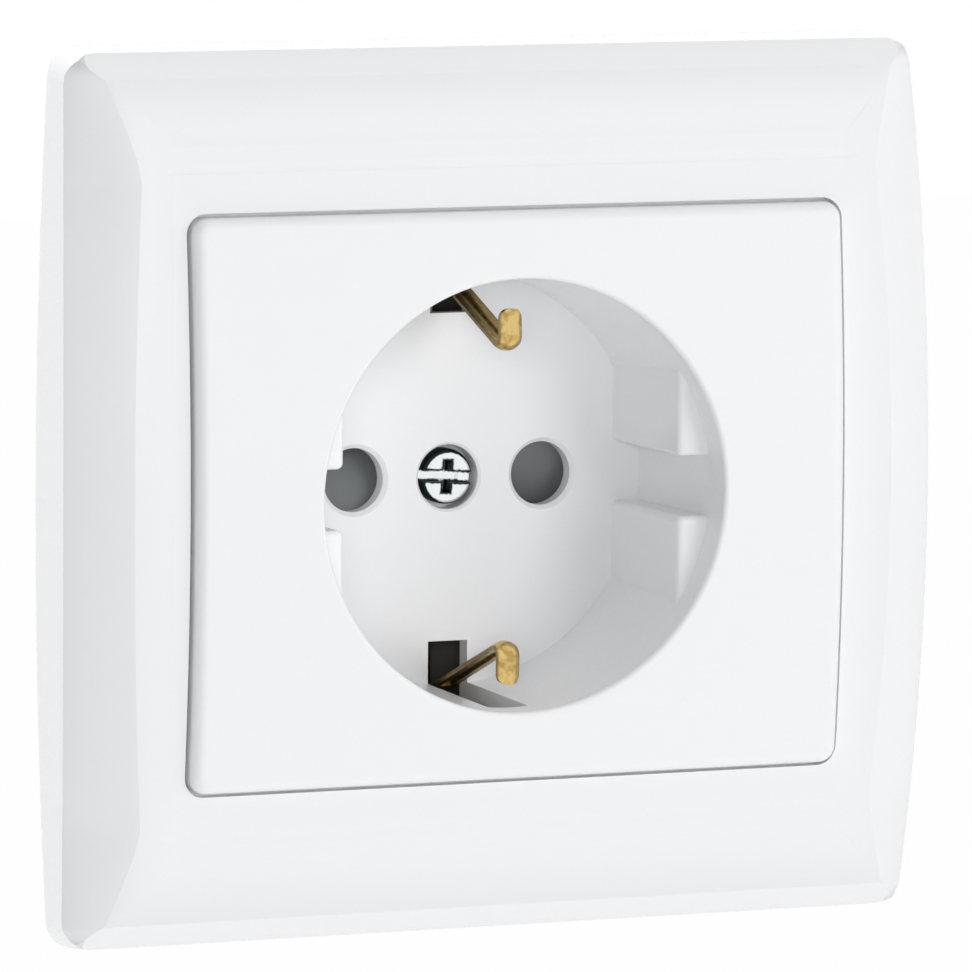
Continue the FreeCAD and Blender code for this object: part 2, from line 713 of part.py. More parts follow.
def make_shutter_spring():
    """A coil that starts at +X and turns downwards, with one leg in the cage and a hook in the hub."""
    right, down, left, up = (1, 0, 0), (0, 0, -1), (-1, 0, 0), (0, 0, 1)
    front, back = (0, -1, 0), (0, 1, 0)
    wire, bend = "dim.spring_wire", "dim.spring_bend"
    coil = spring_arc("spring_coil", "dim.spring_radius", "dim.spring_angle", (right, down, back),
                      ("0", SPRING_MIDDLE, "0"))
    leg_start = f"{SPRING_MIDDLE} + {bend}"
    leg_bend = spring_arc("spring_leg_bend", bend, "90", (front, up, left),
                          ("dim.spring_radius", leg_start, "0"))
    leg = rod("spring_leg", "y", wire, (leg_start, CAGE_BACK), ("dim.spring_radius", bend))
    hook_start = f"dim.spring_radius + {bend}"
    hook_bend = spring_arc("spring_hook_bend", bend, "90", (down, left, back),
                           (hook_start, SPRING_MIDDLE, "0"))
    hook = rod("spring_hook", "x", wire, (hook_start, "dim.hub_radius"), (SPRING_MIDDLE, minus(bend)))
    hook = turned_about_y("spring_hook_turned", join("spring_hook_end", hook_bend, hook), "dim.spring_angle")
    return finished(join("spring", coil, leg_bend, leg, hook), "shutter_spring")


def make_shutter_cage():
    disc = rod("cage_disc", "y", "dim.cage_radius", (CAGE_FRONT, CAGE_BACK), ("0", "0"))
    leg_z = ("dim.cage_radius - dim.cage_leg", "dim.cage_radius - dim.cage_leg/4")
    leg = box("cage_leg", both("dim.cage_leg/2"), (FLOOR_BACK, CAGE_BACK), leg_z)
    body = join("cage_moulding", disc, leg, mirrored("cage_leg_low", leg, "z"))
    through = (f"{CAGE_FRONT} - {ROOM}", f"{CAGE_BACK} + {ROOM}")
    tools = [
        rod("cage_bore", "y", "dim.boss_radius + dim.cage_fit", through, ("0", "0")),
        rod("cage_spring_hole", "y", "dim.spring_wire + dim.cage_fit", through,
            ("dim.spring_radius", "dim.spring_bend")),
    ]
    for sign in ("", "-"):
        tools.append(rod("cage_pin_hole", "y", "dim.pin_hole_radius + dim.pin_clearance", through,
                         (sign + PIN_PLACE, "0")))
    return finished(cut("cage", body, *tools), "shutter_cage")


def crowned_section(name, wide, thick, crown, middle):
    """A strip's section in the XY plane: three straight sides, and a crowned one towards -Y."""
    sketch = doc.addObject("Sketcher::SketchObject", name)
    half = value(f"{wide}/2")
    flat = value(f"{middle} + {thick}/2")
    side = value(f"{middle} - {thick}/2 + {crown}")
    top = Vector(0, value(f"{middle} - {thick}/2"), 0)
    corners = [Vector(half, side, 0), Vector(half, flat, 0), Vector(-half, flat, 0), Vector(-half, side, 0)]
    lines = [sketch.addGeometry(Part.LineSegment(*ends)) for ends in zip(corners, corners[1:])]
    arc = sketch.addGeometry(Part.Arc(corners[0], top, corners[3]))
    for one, end, two, begin in ((0, 2, 1, 1), (1, 2, 2, 1), (2, 2, arc, 1), (arc, 2, 0, 1)):
        sketch.addConstraint(Sketcher.Constraint("Coincident", one, end, two, begin))
    sketch.addConstraint(Sketcher.Constraint("Vertical", lines[0]))
    sketch.addConstraint(Sketcher.Constraint("Horizontal", lines[1]))
    sketch.addConstraint(Sketcher.Constraint("Vertical", lines[2]))
    sketch.addConstraint(Sketcher.Constraint("PointOnObject", arc, 3, -2))
    bound = [
        (Sketcher.Constraint("DistanceX", -1, 1, lines[0], 2, half), f"{wide}/2"),
        (Sketcher.Constraint("DistanceY", -1, 1, lines[0], 2, flat), f"{middle} + {thick}/2"),
        (Sketcher.Constraint("DistanceX", lines[1], 2, lines[1], 1, 2 * half), wide),
        (Sketcher.Constraint("DistanceY", lines[0], 1, lines[0], 2, flat - side), f"{thick} - {crown}"),
        (Sketcher.Constraint("Radius", arc, 1), f"({wide}^2/4 + {crown}^2)/(2*{crown})"),
    ]
    for constraint, expression in bound:
        number = sketch.addConstraint(constraint)
        sketch.setExpression(f"Constraints[{number}]", expression)
    return sketch


def make_earth_bracket():
    middle = f"({BASE_FRONT} - dim.earth_wall/2)"
    height = "(dim.floor_depth - dim.clip_{}_height)"
    apex = height.format("apex")
    path = bent_path("clip_path", IN_YZ, [
        (middle, "0"),
        (middle, "dim.clip_root"),
        (apex, "dim.clip_apex"),
        (height.format("tip"), "dim.clip_tip"),
    ], "dim.clip_bend")
    doc.recompute()
    clip = doc.addObject("Part::Sweep", "clip")
    clip.Sections = [crowned_section("clip_section", "dim.clip_width", "dim.earth_wall", "dim.clip_crown",
                                     middle)]
    clip.Spine = (path, [f"Edge{n}" for n in range(1, len(path.Shape.Edges) + 1)])
    clip.Solid = True
    clip.Frenet = False
    tip_z = value("dim.clip_tip")
    clip = rounded("clip_spoon", clip, (
        "dim.clip_round",
        lambda edge: abs(middle_of(edge).z - tip_z) < value("dim.earth_wall")
        and abs(edge.Length - value("dim.earth_wall - dim.clip_crown")) < NEAR and not runs_along(edge, "x")))
    # the groove that stiffens the arm lies on its outer side, along the arm's slope
    slope = f"atan(({middle} - {apex})/(dim.clip_root - dim.clip_apex))"
    lift = "(dim.earth_wall/2 + dim.groove_radius - dim.groove_depth)"
    groove_y = f"{apex} + dim.groove_start*sin({slope}) - {lift}*cos({slope})"
    groove_z = f"dim.clip_apex + dim.groove_start*cos({slope}) + {lift}*sin({slope})"
    groove = doc.addObject("Part::Cylinder", "clip_groove")
    groove.setExpression("Radius", "dim.groove_radius")
    groove.setExpression("Height", "dim.groove_length")
    groove.Placement = Placement(Vector(), Rotation(Vector(-1, 0, 0), 1))
    groove.setExpression("Placement.Rotation.Angle", slope)
    place(groove, "0", groove_y, groove_z)
    groove_end = doc.addObject("Part::Sphere", "clip_groove_end")
    groove_end.setExpression("Radius", "dim.groove_radius")
    place(groove_end, "0", groove_y, groove_z)
    clip = cut("clip_grooved", clip, groove, groove_end)
    clips = with_mirror("clips", clip, "z")
    place(clips, "0", "0", "-dim.clip_drop")
    pad = box("earth_pad", both("dim.earth_pad/2"), (f"{BASE_FRONT} - dim.earth_wall", BASE_FRONT),
              both("dim.earth_pad_length/2"))
    low = "-dim.earth_terminal"
    tail_path = bent_path("tail_path", Placement(Vector(0, 0, value(low)), Rotation()), [
        ("0", middle),
        ("dim.earth_tail", middle),
        ("dim.earth_tail", TAB_MIDDLE),
        ("-dim.tab_width/2", TAB_MIDDLE),
    ], "dim.bend_radius")
    tail_path.setExpression("Placement.Base.z", low)
    tail = strip("earth_tail", tail_path, "dim.earth_tail_width", "dim.contact_wall", ("0", middle, low))
    body = join("earth_blank", clips, pad, tail)
    tools = [
        rod("earth_screw_way", "y", "dim.screw_radius + dim.screw_clearance",
            (f"{BASE_FRONT} - dim.earth_wall - {ROOM}", f"{BASE_FRONT} + {ROOM}"), ("0", "0")),
        rod("earth_thread", "y", "dim.screw_radius + dim.thread_clearance",
            (f"dim.tab_depth - {ROOM}", f"{TAB_BACK} + {ROOM}"), ("0", low)),
    ]
    return finished(cut("earth", body, *tools), "earth_bracket")


def make_contact(node, place_x):
    """A brass tulip whose two jaws spring onto a pin, with its terminal tab."""
    jaw_path = bent_path(node + "_jaw_path", IN_XY, [
        ("0", TAB_MIDDLE),
        ("dim.jaw_root", TAB_MIDDLE),
        ("(dim.jaw_gap + dim.contact_wall)/2", f"{BASE_FRONT} + dim.base_front_wall + dim.throat_depth"),
        ("dim.jaw_mouth/2", f"{BASE_FRONT} + dim.base_front_wall + dim.chamber_play"),
    ], "dim.bend_radius")
    jaw = strip(node + "_jaw", jaw_path, "dim.contact_width", "dim.contact_wall", ("0", TAB_MIDDLE, "0"))
    tab = box(node + "_tab", both("dim.tab_width/2"), ("dim.tab_depth", TAB_BACK),
              ("-dim.contact_width/2", "dim.tab_reach"))
    thread = rod(node + "_thread", "y", "dim.screw_radius + dim.thread_clearance",
                 (f"dim.tab_depth - {ROOM}", f"{TAB_BACK} + {ROOM}"), ("0", "dim.terminal_height"))
    item = cut(node, join(node + "_blank", jaw, mirrored(node + "_far_jaw", jaw, "x"), tab), thread)
    place(item, place_x, "0", "0")
    return finished(item, node)


def make_terminal(name, place_x, place_z):
    """A clamp plate with two wire grooves, and the screw that presses it onto the tab."""
    size = both("dim.clamp_size/2")
    clamp = box(name + "_plate", size, (TAB_BACK, CLAMP_BACK), size)
    grooves = [
        rod(name + "_groove", "z", "dim.wire_groove", both("dim.clamp_size"),
            (f"{sign}(dim.clamp_size/2 + dim.screw_radius)/2", TAB_BACK))
        for sign in ("", "-")
    ]
    way = rod(name + "_way", "y", "dim.screw_radius + dim.screw_clearance",
              (f"{TAB_BACK} - {ROOM}", f"{CLAMP_BACK} + {ROOM}"), ("0", "0"))
    clamp = cut(name + "_clamp_shape", clamp, way, *grooves)
    place(clamp, place_x, "0", place_z)
    finished(clamp, name + "_clamp")
    item = screw(name + "_screw_shape", CLAMP_BACK, "dim.terminal_head", "dim.terminal_head_height",
                 "(dim.tab_depth - dim.terminal_reach)", "-")
    place(item, place_x, "0", place_z)
    return finished(item, name + "_screw")


CLAW_SCREW = "(dim.base_half_width + dim.claw_gap + dim.screw_radius)"
CLAW_PIVOT = f"({CLAW_SCREW} - dim.claw_arm)"
CLAW_LEG = f"({CLAW_SCREW} + dim.claw_heel)"
RIVET_X = "dim.rivet_circle*sin(dim.rivet_angle*1deg)"
RIVET_Z = "dim.rivet_circle*cos(dim.rivet_angle*1deg)"
CORNERS = [(a, b) for a in ("", "-") for b in ("", "-")]


def make_base():
    solid = (BASE_FRONT, "dim.base_back")
    inner_front = f"({BASE_FRONT} + dim.base_front_wall)"
    back = value("dim.base_back")

    def at_back(edge):
        return abs(middle_of(edge).y - back) < NEAR and not runs_along(edge, "x")

    block = meet(
        "base_block",
        rounded("base_round_soft", rod("base_round", "y", "dim.base_radius", solid, ("0", "0")),
                ("dim.base_edge", at_back)),
        rounded("base_flats_soft", box("base_flats", both("dim.base_half_width"), solid, both("dim.base_radius")),
                ("dim.base_edge", at_back)))
    arms = meet(
        "base_arms",
        cut("base_ring",
            rod("base_ring_out", "y", "dim.base_radius", ("0", inner_front), ("0", "0")),
            rod("base_ring_in", "y", "dim.base_ring", (f"-{ROOM}", f"{inner_front} + {ROOM}"), ("0", "0"))),
        box("base_arm_span", both("dim.base_arm"), ("0", inner_front), both("dim.base_radius")))
    posts = [
        rod("base_post", "y", "dim.post_radius", (FLOOR_BACK, inner_front),
            (f"{a}dim.post_spread", f"{b}dim.post_spread"))
        for a, b in CORNERS
    ]
    body = join("base_moulding", block, arms, *posts)
    play = "dim.chamber_play"
    rear = ("dim.tab_depth", f"dim.base_back + {ROOM}")
    in_front = f"{BASE_FRONT} - {ROOM}"
    tip_way = (f"dim.tab_depth - dim.terminal_reach - {play}", f"dim.tab_depth + {ROOM}")
    half = f"dim.contact_width/2 + {play}"
    tools = []
    for sign in ("", "-"):
        pin = sign + PIN_PLACE
        chamber = around(pin, "dim.chamber_half")
        tools += [
            rod("pin_way", "y", "dim.pin_hole_radius + dim.pin_clearance",
                (in_front, f"{inner_front} + {ROOM}"), (pin, "0")),
            box("contact_chamber", chamber, (inner_front, f"dim.tab_depth + {ROOM}"), both(half)),
            box("terminal_chamber", chamber, rear, (minus(half), f"dim.base_radius + {ROOM}")),
            rod("screw_tip_way", "y", "dim.tip_room", tip_way, (pin, "dim.terminal_height")),
        ]
    low = "-dim.earth_terminal"
    tail_half = f"dim.earth_tail_width/2 + {play}"
    outer_tail = f"dim.earth_tail + dim.contact_wall/2 + {play}"
    nut_room = both(f"dim.nut_size/2 + {play}/2")
    tools += [
        box("earth_chamber", ("-dim.chamber_half", outer_tail), rear,
            (f"-dim.base_radius - {ROOM}", f"{low} + dim.clamp_size/2 + {play}")),
        box("earth_tail_way", (f"dim.earth_tail - dim.contact_wall/2 - {play} - dim.bend_radius", outer_tail),
            (in_front, f"dim.tab_depth + {ROOM}"), around(low, tail_half)),
        rod("earth_tip_way", "y", "dim.tip_room", tip_way, ("0", low)),
        box("nut_pocket", nut_room, (in_front, f"{BASE_FRONT} + dim.nut_height + dim.thread_clearance"),
            nut_room),
        rod("centre_way", "y", "dim.screw_radius + dim.screw_clearance",
            (in_front, f"{SCREW_SEAT} + dim.screw_length + {play}"), ("0", "0")),
    ]
    tools += [
        rod("base_rivet_hole", "y", "dim.rivet_radius + dim.rivet_fit", (f"-{ROOM}", "dim.rivet_length"),
            (a + RIVET_X, b + RIVET_Z))
        for a, b in CORNERS
    ]
    return finished(cut("base", body, *tools), "base_body")


def make_support_plate():
    half_width = both("dim.frame_width/2 - dim.frame_wall - dim.carrier_side_gap")
    half_height = both("dim.frame_height/2 - dim.frame_wall - dim.carrier_end_gap")
    sheet_span = ("-dim.carrier_wall", "0")
    blank = rounded("carrier_outline", box("carrier_blank", half_width, sheet_span, half_height), (
        "dim.carrier_corner", lambda edge: runs_along(edge, "y")))
    through = (f"-dim.carrier_wall - {ROOM}", ROOM)
    lug_low = "dim.claw_width/2 + dim.lug_gap"
    lug = cut(
        "carrier_lug",
        box("lug_blank", around(CLAW_PIVOT, "dim.lug_half"),
            ("-dim.carrier_wall", "dim.claw_depth + dim.lug_half"), (lug_low, f"{lug_low} + dim.lug_wall")),
        rod("lug_hole", "z", "dim.pivot_radius + dim.pivot_play", ("0", "dim.claw_width"),
            (CLAW_PIVOT, "dim.claw_depth")))
    lugs = with_mirror("carrier_lugs", with_mirror("carrier_lug_pair", lug, "z"), "x")
    slot_end = "(dim.box_slot_length/2 - dim.box_slot_radius)"
    place_z = "dim.box_screw_spacing/2"
    tools = [rod("carrier_opening", "y", "dim.carrier_hole", through, ("0", "0"))]
    slot_half = "dim.screw_radius + dim.claw_slot_play"
    for sign in ("", "-"):
        middle = sign + place_z
        tools.append(join(
            "box_slot",
            box("box_slot_run", both("dim.box_slot_radius"), through, around(middle, slot_end)),
            rod("box_slot_end", "y", "dim.box_slot_radius", through, ("0", f"{middle} + {slot_end}")),
            rod("box_slot_end", "y", "dim.box_slot_radius", through, ("0", f"{middle} - {slot_end}"))))
    claw_slot = join(
        "claw_slot",
        box("claw_slot_run", (f"dim.carrier_hole - {ROOM}", CLAW_SCREW), through,
            both(slot_half)),
        rod("claw_slot_end", "y", slot_half, through, (CLAW_SCREW, "0")))
    tools += [claw_slot, mirrored("claw_slot_left", claw_slot, "x")]
    tools += [
        rod("carrier_rivet_hole", "y", "dim.rivet_radius + dim.rivet_fit", through, (a + RIVET_X, b + RIVET_Z))
        for a, b in CORNERS
    ]
    pierced = cut("carrier_pierced", blank, *tools)
    return finished(join("carrier", pierced, lugs), "support_plate")


def make_rivets():
    front = "-dim.carrier_wall - dim.rivet_head_height"
    face = value(front)
    rivets = []
    for a, b in CORNERS:
        head = rod("rivet_head", "y", "dim.rivet_head", (front, "-dim.carrier_wall"), ("0", "0"))
        head = rounded("rivet_dome", head, (
            "dim.rivet_round", lambda edge: abs(middle_of(edge).y - face) < NEAR))
        shank = rod("rivet_shank", "y", "dim.rivet_radius", ("-dim.carrier_wall", "dim.rivet_length"),
                    ("0", "0"))
        rivet = join("rivet", head, shank)
        place(rivet, a + RIVET_X, "0", b + RIVET_Z)
        rivets.append(rivet)
    group = doc.addObject("Part::Compound", "rivets")
    group.Links = rivets
    return finished(group, "plate_rivets")


def claw_shape(name):
    """The right-hand spreader claw: a bent strip with toothed end and rolled pivot."""
    path = bent_path(name + "_path", IN_XY, [
        (CLAW_PIVOT, "dim.claw_depth"),
        (CLAW_LEG, "dim.claw_depth"),
        (CLAW_LEG, "dim.claw_reach"),
        (f"{CLAW_LEG} + dim.claw_tooth", "dim.claw_end"),
    ], "dim.bend_radius")
    leaf = strip(name + "_leaf", path, "dim.claw_width", "dim.claw_wall",
                 (CLAW_PIVOT, "dim.claw_depth", "0"))
    pivot = rod(name + "_pivot", "z", "dim.pivot_radius",
                both("dim.claw_width/2 + dim.lug_gap + dim.lug_wall"), (CLAW_PIVOT, "dim.claw_depth"))
    thread = rod(name + "_thread", "y", "dim.screw_radius + dim.thread_clearance",
                 around("dim.claw_depth", f"dim.claw_wall + {ROOM}"), (CLAW_SCREW, "0"))
    notches = [
        rod(name + "_notch", "x", "dim.claw_notch", (CLAW_PIVOT, f"{CLAW_LEG} + dim.claw_end"),
            ("dim.claw_end + dim.claw_notch/2", f"{sign}dim.claw_width/4"))
        for sign in ("", "-")
    ]
    return cut(name, join(name + "_blank", leaf, pivot), thread, *notches)


def make_claws():
    right = claw_shape("claw")
    seat = "(-dim.carrier_wall - dim.claw_head_gap)"
    for side, sign in (("left", "-"), ("right", "")):
        if side == "right":
            claw = right
        else:
            claw = mirrored("claw_left_hand", right, "x")
        finished(claw, f"claw_{side}")
        item = screw(f"claw_screw_{side}_shape", seat, "dim.claw_head", "dim.claw_head_height",
                     "dim.claw_screw_end", "+")
        place(item, sign + CLAW_SCREW, "0", "0")
        finished(item, f"claw_screw_{side}")


make_cover_frame()
make_centre_plate()
make_centre_screw()
make_shutter()
make_shutter_spring()
make_shutter_cage()
make_earth_bracket()
make_contact("line_contact", minus(PIN_PLACE))
make_contact("neutral_contact", PIN_PLACE)
make_terminal("line", minus(PIN_PLACE), "dim.terminal_height")
make_terminal("neutral", PIN_PLACE, "dim.terminal_height")
make_terminal("earth", "0", "-dim.earth_terminal")
make_centre_nut()
make_base()
make_support_plate()
make_rivets()
make_claws()
doc.recompute()

for item in doc.Objects:
    if "Invalid" in item.State or "Error" in item.State:
        raise RuntimeError(f"{item.Name} ({item.Label}) failed: {item.State}")
os.makedirs("parts", exist_ok=True)
for item in subparts:
    if item.Shape.isNull() or not item.Shape.isValid() or not item.Shape.Solids:
        raise RuntimeError(f"{item.Label} has no sound solid")
for item in subparts:
    item.Shape.exportStep(f"parts/{item.Label}.step")
    extent = item.Shape.BoundBox
    print(f"{item.Label}: {len(item.Shape.Solids)} solid, {item.Shape.Volume:.1f} mm3, "
          f"x {extent.XMin:.2f} {extent.XMax:.2f}, y {extent.YMin:.2f} {extent.YMax:.2f}, "
          f"z {extent.ZMin:.2f} {extent.ZMax:.2f}")
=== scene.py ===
import bmesh
import bpy
import math
from mathutils import Matrix, Vector


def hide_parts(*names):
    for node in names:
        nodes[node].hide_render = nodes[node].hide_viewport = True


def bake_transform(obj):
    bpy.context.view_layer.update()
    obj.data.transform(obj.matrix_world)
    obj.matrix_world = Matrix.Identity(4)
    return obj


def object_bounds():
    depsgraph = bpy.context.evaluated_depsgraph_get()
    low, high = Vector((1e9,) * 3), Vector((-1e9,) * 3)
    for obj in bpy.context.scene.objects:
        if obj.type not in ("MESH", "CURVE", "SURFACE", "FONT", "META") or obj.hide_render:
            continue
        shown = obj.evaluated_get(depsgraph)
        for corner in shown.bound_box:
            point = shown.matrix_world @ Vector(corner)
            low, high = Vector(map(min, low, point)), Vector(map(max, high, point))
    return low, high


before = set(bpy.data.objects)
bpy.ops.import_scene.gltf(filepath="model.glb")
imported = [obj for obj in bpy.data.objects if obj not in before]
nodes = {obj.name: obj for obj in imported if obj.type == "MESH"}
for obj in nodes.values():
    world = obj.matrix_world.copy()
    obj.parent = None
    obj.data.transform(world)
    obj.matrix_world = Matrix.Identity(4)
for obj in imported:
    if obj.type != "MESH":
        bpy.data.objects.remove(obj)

cad_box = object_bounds()


# Cover frame: one bowed and domed shell, injection moulded in white plastic with a polished show face.
# Its inner side keeps the duller skin of the core half of the mould. It is held by the centre plate.
class Signal:
    """A socket of a material. Sums, differences, products and quotients add Math nodes, add() any node."""

    def __init__(self, socket):
        self.socket = socket
        self.tree = socket.id_data

    def add(self, kind, settings=(), out=0, **sockets):
        node = self.tree.nodes.new(kind)
        for name, setting in dict(settings).items():
            if name == "stops":
                while len(node.color_ramp.elements) < len(setting):
                    node.color_ramp.elements.new(1)
                for element, (spot, colour) in zip(node.color_ramp.elements, setting):
                    element.position = spot
                    element.color = (*colour, 1)
            else:
                setattr(node, name, setting)
        for name, given in sockets.items():
            entry = node.inputs[int(name[1:]) if name[1:].isdigit() else name.replace("_", " ")]
            if isinstance(given, Signal):
                self.tree.links.new(given.socket, entry)
            else:
                entry.default_value = given
        return Signal(node.outputs[out])

    def sum_up(self, operation, one, two):
        return self.add("ShaderNodeMath", {"operation": operation}, i0=one, i1=two)

    def __add__(self, other):
        return self.sum_up("ADD", self, other)

    def __sub__(self, other):
        return self.sum_up("SUBTRACT", self, other)

    def __mul__(self, other):
        return self.sum_up("MULTIPLY", self, other)

    def __truediv__(self, other):
        return self.sum_up("DIVIDE", self, other)

    def __rsub__(self, other):
        return self.sum_up("SUBTRACT", other, self)

    __radd__ = __add__
    __rmul__ = __mul__


def new_finish(name, **sockets):
    """A material with its shader's uniform values set, its shader and its Object coordinates."""
    material = bpy.data.materials.new(name)
    material.use_nodes = True
    tree = material.node_tree
    shader = tree.nodes["Principled BSDF"]
    for socket, setting in sockets.items():
        shader.inputs[socket.replace("_", " ")].default_value = setting
    return material, shader, Signal(tree.nodes.new("ShaderNodeTexCoord").outputs["Object"])


def feed(shader, **signals):
    for socket, signal in signals.items():
        signal.tree.links.new(signal.socket, shader.inputs[socket.replace("_", " ")])


def dress(material, *names):
    for name in names:
        for slot in nodes[name].material_slots:
            slot.material = material


def speckle(place, scale, detail=2.0, stretch=(1, 1, 1)):
    """Noise from 0 to 1, with its size per metre and a stretch along each axis."""
    spot = place.add("ShaderNodeMapping", Vector=place, Scale=stretch)
    return place.add("ShaderNodeTexNoise", out="Fac", Vector=spot, Scale=scale, Detail=detail)


def limited(signal):
    return signal.add("ShaderNodeClamp", Value=signal)


def blend_of(fraction, one, two):
    """A colour between two colours, each a triple or a signal."""
    one, two = (colour if isinstance(colour, Signal) else (*colour, 1) for colour in (one, two))
    return fraction.add("ShaderNodeMix", {"data_type": "RGBA"}, out=2, i0=fraction, i6=one, i7=two)


def pressed(height, strength, distance):
    return height.add("ShaderNodeBump", out="Normal", Height=height, Strength=strength, Distance=distance)


def worked(operation, one, two=0.0):
    """A Math node by its name, for what the operators do not cover."""
    return one.sum_up(operation, one, two)


def moulded_white(name, light, shade):
    """White moulded plastic with a very fine skin, duller at the back, its shader and its coordinates."""
    material, shader, place = new_finish(name, IOR=1.5, Coat_Roughness=0.12)
    grain = speckle(place, 16000, 2)
    facing = place.add("ShaderNodeNewGeometry", out="Normal")
    back = limited(place.add("ShaderNodeSeparateXYZ", out="Y", Vector=facing) * 4 - 1.5)
    feed(shader, Base_Color=blend_of(grain, light, shade), Roughness=grain * 0.03 + 0.255 + back * 0.22,
         Coat_Weight=0.25 - back * 0.25)
    return material, shader, place


# The rounded edges are shaded as in the picture: a front that stays flat up to a fine crease, then an even
# slope down to the rim. The side creases bow outwards at mid-height and sweep into the corners.
SIDE_START, SIDE_BOW, SIDE_ROUND, END_START, END_ROUND = 0.03359, 0.667, 0.0136, 0.0321, 0.0125
SIDE_CREASE, CREASE_BOW, CORNER_START, CORNER_SWEEP, END_CREASE = 0.03785, 1.4, 0.029, 0.47, 0.0386
CORNER_SOFT, CORNER_BACK = 0.003, 600.0
SIDE_SLOPE, SIDE_STEEPER, END_SLOPE, END_STEEPER = 0.4, 30.0, 0.6, 66.0


def flattening(run, radius):
    """The height that turns a rounded edge flat again, from the run past the rounding's start."""
    run = worked("MINIMUM", worked("MAXIMUM", run), radius * 0.9) / radius
    return worked("LOGARITHM", 1 - run * run, math.e) * (-radius / 2)


def sloping(run, slope, steeper):
    """How far an edge has fallen past its crease, on a slope that steepens."""
    run = worked("MAXIMUM", run)
    return (run * steeper + slope) * run


material, shader, place = moulded_white("frame_white", (0.905, 0.91, 0.921), (0.909, 0.914, 0.925))
beside = worked("ABSOLUTE", place.add("ShaderNodeSeparateXYZ", out="X", Vector=place))
height = worked("ABSOLUTE", place.add("ShaderNodeSeparateXYZ", out="Z", Vector=place))
flat = worked("MAXIMUM", flattening(beside - SIDE_START + height * height * SIDE_BOW, SIDE_ROUND),
              flattening(height - END_START, END_ROUND))
corner = worked("MAXIMUM", height - CORNER_START)
past = worked("MAXIMUM", height - END_CREASE)
sweep = corner * corner * CORNER_SWEEP / (corner + CORNER_SOFT) - past * past * CORNER_BACK
crease = SIDE_CREASE - height * height * CREASE_BOW + sweep
edges = worked("MAXIMUM", sloping(beside - crease, SIDE_SLOPE, SIDE_STEEPER),
               sloping(height - END_CREASE, END_SLOPE, END_STEEPER))
facing = place.add("ShaderNodeNewGeometry", out="Normal")
front = limited(place.add("ShaderNodeSeparateXYZ", out="Y", Vector=facing) * -6 - 1)
feed(shader, Normal=pressed((flat - edges) * front, 1.0, 1.0))
dress(material, "cover_frame")

# Centre plate: the white insert with the plug well, its guide blocks and the floor with the pin holes.
# It is moulded in one piece with the well, and the centre screw pulls it onto the frame's ledge.
# Its white is a little lighter than the frame's: painted light that brightens the inside of the well.
dress(moulded_white("plate_white_painted_light", (0.917, 0.922, 0.933), (0.921, 0.926, 0.937))[0], "centre_plate")


# Screws, clamps, support plate and claws: steel with a bright zinc coat. The coat is a little cloudy,
# bluish in places, and the stamped and turned pieces have fine marks in it.
def zinc_coat(name, light, shade, roughness):
    material, shader, place = new_finish(name, Metallic=1.0)
    cloud = speckle(place, 420, 4)
    marks = speckle(place, 2600, 2, (1, 1, 6))
    feed(shader, Base_Color=blend_of(cloud, light, shade), Roughness=cloud * 0.16 + roughness + marks * 0.06,
         Normal=pressed(marks, 0.08, 0.00003))
    return material


dress(zinc_coat("bright_zinc", (0.82, 0.84, 0.85), (0.7, 0.73, 0.74), 0.14), "line_screw", "neutral_screw",
      "earth_screw", "claw_screw_left", "claw_screw_right")
dress(zinc_coat("plain_zinc", (0.74, 0.76, 0.77), (0.6, 0.63, 0.65), 0.26), "support_plate", "claw_left",
      "claw_right", "line_clamp", "neutral_clamp", "earth_clamp")

# Centre screw: the same coat, with painted shade and painted dark reflection: a dark line along the edges of
# the slot and the cross recess, and a dark ring round the head that is wider on the upper left.
# Widths and offset of the painted shade on the screw.
HEAD_RADIUS, SHADE_RIM_WIDTH, SHADE_SHIFT = 0.0026, 0.0003, 0.00012
SLOT_HALF, CROSS_HALF, CROSS_REACH, DRIVE_ANGLE = 0.000525, 0.000425, 0.0015, math.radians(4)
SHADE_LINE_WIDTH = 0.00013
material, shader, place = new_finish("zinc_painted_edge_shade", Metallic=1.0)
cloud = speckle(place, 900, 3)
ragged = (speckle(place, 3000, 2) - 0.5) * 0.0003
x = place.add("ShaderNodeSeparateXYZ", out="X", Vector=place)
z = place.add("ShaderNodeSeparateXYZ", out="Z", Vector=place)
along = worked("ABSOLUTE", x * math.cos(DRIVE_ANGLE) - z * math.sin(DRIVE_ANGLE))
beside = worked("ABSOLUTE", x * math.sin(DRIVE_ANGLE) + z * math.cos(DRIVE_ANGLE))
lying = worked("MAXIMUM", along - CROSS_REACH, beside - CROSS_HALF)
standing = worked("MAXIMUM", along - CROSS_HALF, beside - CROSS_REACH)
outside = worked("MINIMUM", worked("MINIMUM", lying, standing), beside - SLOT_HALF)
# Painted shade: dark lines along the edges of the slot and the cross recess.
lines = limited(1.8 - worked("ABSOLUTE", outside + ragged) / SHADE_LINE_WIDTH)
from_middle = place.add("ShaderNodeVectorMath", {"operation": "LENGTH"}, out="Value",
                        i0=place.add("ShaderNodeCombineXYZ", X=x - SHADE_SHIFT, Z=z + SHADE_SHIFT))
# Painted shade and dark reflection: a ring round the head, off centre so that it is wider on the upper left.
rim = limited((from_middle + ragged * 0.5 - HEAD_RADIUS + SHADE_RIM_WIDTH) / 0.00008)
rim = rim * limited((beside - SLOT_HALF) / 0.00005)
painted_edge_shade = limited(lines + rim)
zinc_tone = blend_of(cloud, (0.93, 0.945, 0.95), (0.8, 0.83, 0.84))
feed(shader, Base_Color=blend_of(painted_edge_shade, zinc_tone, (0.02, 0.034, 0.03)), Roughness=cloud * 0.12 + 0.1 + painted_edge_shade * 0.3)
dress(material, "centre_screw")


